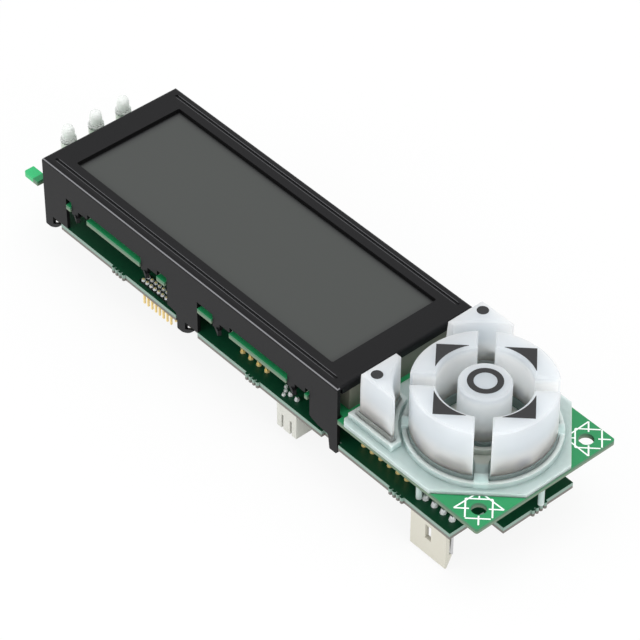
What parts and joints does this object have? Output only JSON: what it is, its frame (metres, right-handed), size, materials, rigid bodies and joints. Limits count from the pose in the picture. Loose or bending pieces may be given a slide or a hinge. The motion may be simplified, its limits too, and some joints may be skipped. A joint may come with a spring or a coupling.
{
  "type": "graphic lcd module",
  "caption": "Long graphic display in a hooked steel bezel on stacked circuit boards, with indicator lamps at one end and a round silicone keypad at the other.",
  "frame": {"origin": "midway between the two mounting holes of the keypad end, on the front face of the long upper board", "axes": "+X from the lamp end to the keypad end, +Y from the connector side to the far side, +Z out of the display's face"},
  "size_m": [0.1426, 0.0382, 0.0327],
  "materials": {
    "bezel_paint": "satin black paint over steel",
    "polariser": "grey-green polarising film",
    "display_glass": "clear",
    "frame_white": "moulded white",
    "guide_clear": "clear acrylic",
    "strip_grey": "striped elastomer",
    "board_bright": "bright green solder mask",
    "board_dark": "dark green solder mask",
    "lamp_lens": "diffused epoxy",
    "spacer_grey": "moulded",
    "silicone_key": "translucent silicone",
    "silicone_mat": "translucent silicone",
    "carbon_pill": "carbon filled",
    "gold_pin": "gold flashed",
    "tinned_pin": "tinned",
    "solder": "bright solder",
    "header_black": "moulded black",
    "socket_white": "moulded off-white",
    "socket_cream": "moulded cream",
    "chip_black": "epoxy package",
    "capacitor_tan": "moulded"
  },
  "bodies": {
    "module": {"bezel": "bezel_paint", "front_polariser": "polariser", "rear_polariser": "polariser", "upper_glass": "display_glass", "lower_glass": "display_glass", "light_guide": "guide_clear", "backlight_frame": "frame_white", "contact_strip_near": "strip_grey", "contact_strip_far": "strip_grey", "upper_board": "board_bright", "lower_board": "board_dark", "lamp_near": "lamp_lens", "lamp_middle": "lamp_lens", "lamp_far": "lamp_lens", "lamp_spacer_near": "spacer_grey", "lamp_spacer_middle": "spacer_grey", "lamp_spacer_far": "spacer_grey", "lamp_leads": "tinned_pin", "keypad_mat": "silicone_mat", "stack_header_body": "header_black", "stack_header_pins": "gold_pin", "fine_header_body": "header_black", "fine_header_pins": "gold_pin", "service_header_body": "header_black", "service_header_pins": "gold_pin", "side_connector_housing": "socket_white", "side_connector_pins": "tinned_pin", "lock_header_housing": "socket_cream", "lock_header_pins": "tinned_pin", "solder_joints": "solder", "fine_solder_joints": "solder", "controller_chip": "chip_black", "controller_leads": "tinned_pin", "driver_chips": "chip_black", "memory_chips": "chip_black", "supply_capacitors": "capacitor_tan"},
    "centre_key": {"key_centre": "silicone_key", "contact_pill_centre": "carbon_pill"},
    "right_key": {"key_right": "silicone_key", "contact_pill_right": "carbon_pill"},
    "up_key": {"key_up": "silicone_key", "contact_pill_up": "carbon_pill"},
    "left_key": {"key_left": "silicone_key", "contact_pill_left": "carbon_pill"},
    "down_key": {"key_down": "silicone_key", "contact_pill_down": "carbon_pill"},
    "corner_near_key": {"key_corner_near": "silicone_key", "contact_pill_corner_near": "carbon_pill"},
    "corner_far_key": {"key_corner_far": "silicone_key", "contact_pill_corner_far": "carbon_pill"}
  },
  "joints": [
    {"name": "centre_press", "type": "slide", "parent": "module", "child": "centre_key", "axis": [0, 0, -1], "range_m": [0, 0.0011], "stiffness_N_per_m": 1200},
    {"name": "right_press", "type": "slide", "parent": "module", "child": "right_key", "axis": [0, 0, -1], "range_m": [0, 0.0011], "stiffness_N_per_m": 1200},
    {"name": "up_press", "type": "slide", "parent": "module", "child": "up_key", "axis": [0, 0, -1], "range_m": [0, 0.0011], "stiffness_N_per_m": 1200},
    {"name": "left_press", "type": "slide", "parent": "module", "child": "left_key", "axis": [0, 0, -1], "range_m": [0, 0.0011], "stiffness_N_per_m": 1200},
    {"name": "down_press", "type": "slide", "parent": "module", "child": "down_key", "axis": [0, 0, -1], "range_m": [0, 0.0011], "stiffness_N_per_m": 1200},
    {"name": "corner_near_press", "type": "slide", "parent": "module", "child": "corner_near_key", "axis": [0, 0, -1], "range_m": [0, 0.0011], "stiffness_N_per_m": 1200},
    {"name": "corner_far_press", "type": "slide", "parent": "module", "child": "corner_far_key", "axis": [0, 0, -1], "range_m": [0, 0.0011], "stiffness_N_per_m": 1200}
  ]
}
